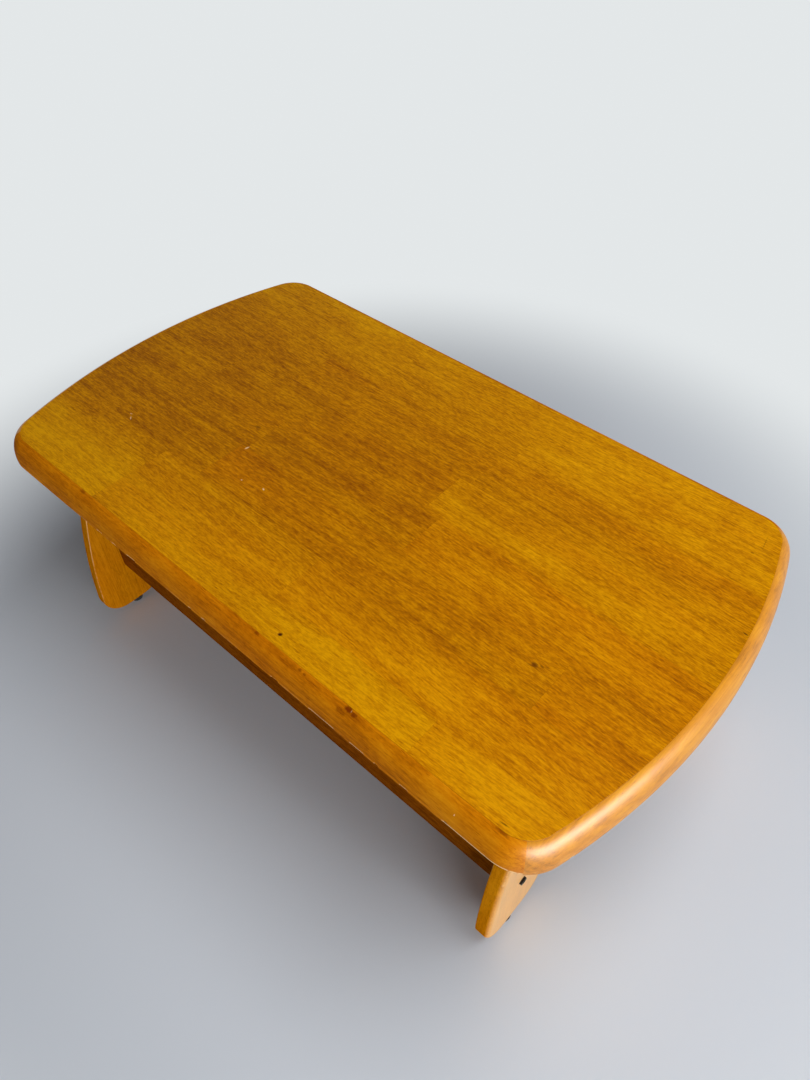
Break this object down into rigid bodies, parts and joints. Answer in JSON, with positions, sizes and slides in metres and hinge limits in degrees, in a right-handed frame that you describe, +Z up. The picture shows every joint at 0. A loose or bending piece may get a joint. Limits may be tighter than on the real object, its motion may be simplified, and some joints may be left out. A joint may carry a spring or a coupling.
{
  "type": "low table",
  "caption": "Low wooden table with a bowed, round-cornered top and rounded edge, on flared board legs tied by bolted low stretchers.",
  "frame": {"origin": "on the floor, under the middle of the top", "axes": "+X along the top to the right-hand end, +Y to the rear long side, +Z up"},
  "size_m": [0.9, 0.51, 0.355],
  "materials": {
    "panel_wood": "satin clear lacquer over golden brown wood, staves glued edge to edge",
    "lipping_wood": "satin clear lacquer over solid wood, rounded over, worn at the lower arris",
    "leg_wood": "satin clear lacquer over solid wood",
    "rail_wood": "dark reddish brown stain under satin lacquer",
    "dowel_wood": "plain beech, fluted",
    "bolt_steel": "dark zinc plate",
    "insert_metal": "bright zinc plate",
    "foot_plastic": "black moulded plastic"
  },
  "bodies": {
    "table": {"top_panel": "panel_wood", "lipping_front": "lipping_wood", "lipping_rear": "lipping_wood", "lipping_left": "lipping_wood", "lipping_right": "lipping_wood", "leg_front_left": "leg_wood", "leg_front_right": "leg_wood", "leg_rear_left": "leg_wood", "leg_rear_right": "leg_wood", "cross_rail_left": "rail_wood", "cross_rail_right": "rail_wood", "stretcher_front": "rail_wood", "stretcher_rear": "rail_wood", "stretcher_bolts": "bolt_steel", "stretcher_washers": "bolt_steel", "barrel_nuts": "bolt_steel", "stretcher_dowels": "dowel_wood", "rail_bolts": "bolt_steel", "rail_washers": "bolt_steel", "leg_inserts": "insert_metal", "panel_screws": "bolt_steel", "foot_inserts": "insert_metal"},
    "foot_front_left": {"foot_pad_front_left": "foot_plastic", "foot_stud_front_left": "bolt_steel"},
    "foot_front_right": {"foot_pad_front_right": "foot_plastic", "foot_stud_front_right": "bolt_steel"},
    "foot_rear_left": {"foot_pad_rear_left": "foot_plastic", "foot_stud_rear_left": "bolt_steel"},
    "foot_rear_right": {"foot_pad_rear_right": "foot_plastic", "foot_stud_rear_right": "bolt_steel"}
  },
  "joints": [
    {"name": "foot_front_left_height", "type": "slide", "parent": "table", "child": "foot_front_left", "axis": [0, 0, -1], "range_m": [0, 0.006]},
    {"name": "foot_front_right_height", "type": "slide", "parent": "table", "child": "foot_front_right", "axis": [0, 0, -1], "range_m": [0, 0.006]},
    {"name": "foot_rear_left_height", "type": "slide", "parent": "table", "child": "foot_rear_left", "axis": [0, 0, -1], "range_m": [0, 0.006]},
    {"name": "foot_rear_right_height", "type": "slide", "parent": "table", "child": "foot_rear_right", "axis": [0, 0, -1], "range_m": [0, 0.006]}
  ]
}
